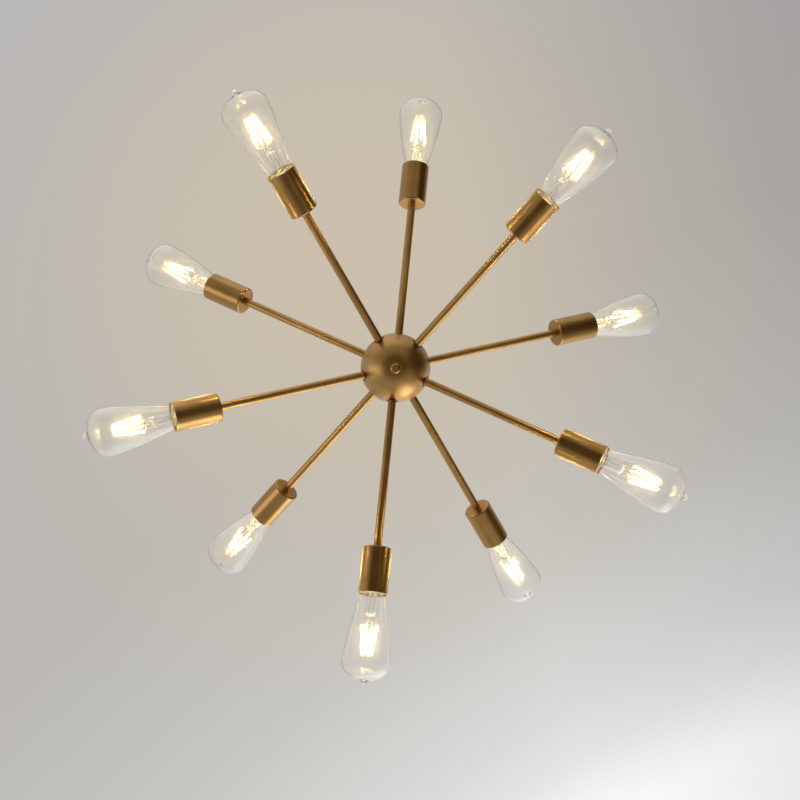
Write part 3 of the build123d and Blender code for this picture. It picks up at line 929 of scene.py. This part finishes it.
scene.world = bpy.data.worlds.new("room")
room = Finish(scene.world)
heading = room.node("TexCoord", {}, output="Generated")


def facing(direction):
    """Cosine of the angle between where the room is looked at and a direction in the view."""
    pair = {0: heading, 1: room_from_view(direction).normalized()}
    return room.node("VectorMath", pair, output="Value", operation="DOT_PRODUCT")


daylight = room.ramp(
    facing((0.47, -0.78, -0.40)),
    (0.0, (0.465, 0.467, 0.48)), (0.42, (0.49, 0.475, 0.455)), (0.56, (0.57, 0.56, 0.535)),
    (0.65, (0.695, 0.695, 0.68)), (0.68, (0.785, 0.79, 0.775)), (0.715, (0.99, 1.0, 1.0)),
)
lamp_glow = room.ramp(
    facing((-0.03, 0.07, -1.0)),
    (0.94, (0, 0, 0)), (0.975, (0.33, 0.33, 0.33)), (1.0, (1, 1, 1)),
)
far_wall = room.ramp(facing((-0.05, 1.0, -0.2)), (0.6, (0, 0, 0)), (0.95, (1, 1, 1)))
shade = room.ramp(facing((1.0, 0.20, 0.0)), (0.08, (0, 0, 0)), (0.32, (0.36, 0.36, 0.36)))
mirrored = room.node("LightPath", {}, output="Is Glossy Ray")
walls = room.mixed(lamp_glow * 0.9, daylight, (0.61, 0.53, 0.41))     # warm round the bulbs
walls = room.mixed(far_wall * mirrored, walls, (0.86, 0.82, 0.82))    # lit wall, in the brass
walls = room.mixed(shade, walls, (0.20, 0.185, 0.175))                # unlit side
room.node("OutputWorld", {"Surface": room.node("Background", {"Color": walls, "Strength": 1.0})})


def disc(name, radius, sides, place, turn=(0, 0, 0)):
    """A flat round sheet that isn't part of the fixture."""
    bpy.ops.mesh.primitive_circle_add(
        vertices=sides, radius=radius, fill_type="NGON", location=place, rotation=turn
    )
    sheet = bpy.context.object
    sheet.name = name
    return sheet


floor = disc("floor", floor_radius, 96, (0, 0, floor_height))
plaster = Finish(bpy.data.materials.new("pale_floor"))
speckle = plaster.noise(plaster.place(), scale=3.0)
pale = plaster.ramp(speckle, (0.3, (0.64, 0.62, 0.59)), (0.7, (0.66, 0.64, 0.61)))
floor.data.materials.append(plaster.principled({"Base Color": pale, "Roughness": 0.8}))


def window(name, toward, distance, width, height, radiance, tone):
    """A soft-edged lamp at a direction from the ball in the view, facing the ball."""
    light = bpy.data.lights.new(name, "AREA")
    light.shape = "RECTANGLE"
    light.size, light.size_y = width, height
    light.energy = pi * width * height
    pane = Finish(light)
    place = pane.node("NewGeometry", {}, output="Parametric")
    u = pane.node("SeparateXYZ", {"Vector": place}, output="X")
    v = pane.node("SeparateXYZ", {"Vector": place}, output="Y")
    fade = u * (1 - u) * v * (1 - v) * 16
    glow = pane.node("Emission", {"Color": (*tone, 1), "Strength": fade * radiance})
    pane.node("OutputLight", {"Surface": glow})
    away = room_from_view(toward).normalized()
    lamp = placed(name, light)
    lamp.location = ball_centre + away * distance
    lamp.rotation_euler = away.to_track_quat("Z", "Y").to_euler()
    lamp.visible_camera = False
    lamp.visible_transmission = False


def flag(name, toward, distance, radius, heart=1.0):
    """A dark round card that only reflections see, at a direction from the ball in the view.

    It thins out towards its edge, and at its middle to the share called heart.
    """
    away = room_from_view(toward).normalized()
    card = disc(
        name, radius, 48, ball_centre + away * distance, away.to_track_quat("Z", "Y").to_euler()
    )
    finish = Finish(bpy.data.materials.new(name))
    centre_distance = finish.length(finish.place())
    edge = finish.span(centre_distance, radius, radius * 0.25, interpolation_type="SMOOTHSTEP")
    middle = finish.span(centre_distance, 0.0, radius * 0.32, low=heart)
    # Painted reflection: the dark card stands in for the dim room, and only the brass and glass
    # reflect it.
    painted_dark_reflection = {"Base Color": (0.09, 0.052, 0.005, 1), "Roughness": 0.9, "Alpha": edge * middle}
    card.data.materials.append(finish.principled(painted_dark_reflection))
    for sight in ("camera", "diffuse", "transmission", "volume_scatter", "shadow"):
        setattr(card, f"visible_{sight}", False)


window(
    "left_window", toward=(-0.92, -0.10, 0.30), distance=2.6, width=1.5, height=3.0,
    radiance=0.92, tone=(1.0, 0.95, 0.90),
)
window(
    "far_window", toward=(0.42, -0.90, -0.05), distance=2.6, width=1.8, height=3.2,
    radiance=1.85, tone=(0.94, 0.97, 1.0),
)
flag("flag_below", toward=(-0.05, 0.10, 1.0), distance=2.2, radius=3.4, heart=0.5)
flag("flag_right", toward=(1.0, 0.28, 0.15), distance=2.3, radius=3.0)

scene.view_settings.view_transform = "Standard"
